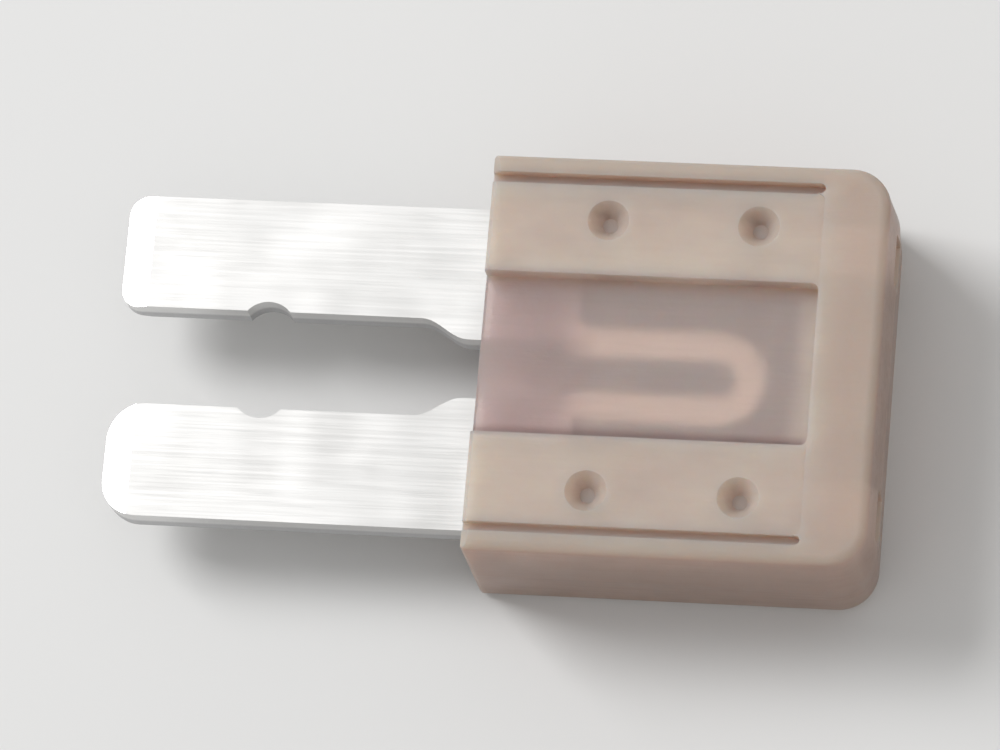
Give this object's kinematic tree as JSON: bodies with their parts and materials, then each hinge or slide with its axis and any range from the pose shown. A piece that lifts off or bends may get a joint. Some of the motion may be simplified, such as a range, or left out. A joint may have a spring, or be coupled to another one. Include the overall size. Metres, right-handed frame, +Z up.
{
  "type": "blade fuse",
  "caption": "Small plug-in blade fuse: milky moulded housing on a stamped metal element with two flat blades and a U-shaped fusible link behind a thin window.",
  "frame": {"origin": "middle of the bottom of the bounding box, under the part, on the plane of the housing's broad face that it lies on", "axes": "+X from the blade tips to the head, +Y across the two blades, +Z up through the thickness of the housing"},
  "size_m": [0.0154, 0.0082, 0.0033],
  "materials": {
    "milky_plastic": "satin, see-through and milky",
    "plated_metal": "bright tin plate with fine rolling lines"
  },
  "bodies": {
    "root": {"housing": "milky_plastic", "fuse_element": "plated_metal"}
  },
  "joints": []
}
